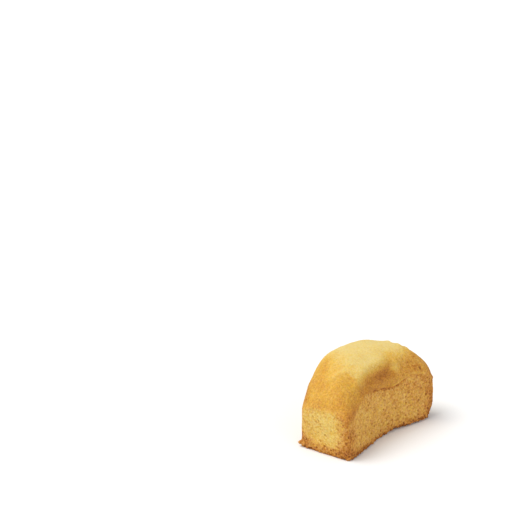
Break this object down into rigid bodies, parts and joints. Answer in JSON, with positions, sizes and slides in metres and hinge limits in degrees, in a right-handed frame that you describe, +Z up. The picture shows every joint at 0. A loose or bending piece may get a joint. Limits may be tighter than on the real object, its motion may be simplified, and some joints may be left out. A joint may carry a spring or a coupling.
{
  "type": "madeleine cake",
  "caption": "Small loaf-shaped madeleine sponge cake with upright sides, a bowed plan and a risen golden top.",
  "frame": {"origin": "on the face the cake rests on, under the middle of its bounding box", "axes": "+X along the length, -Y towards the hollow long side, +Z up"},
  "size_m": [0.075, 0.0384, 0.0424],
  "materials": {
    "baked_sponge": "matt porous baked sponge, pale gold on the top and browner at the sides and foot"
  },
  "bodies": {
    "root": {"cake": "baked_sponge"}
  },
  "joints": []
}
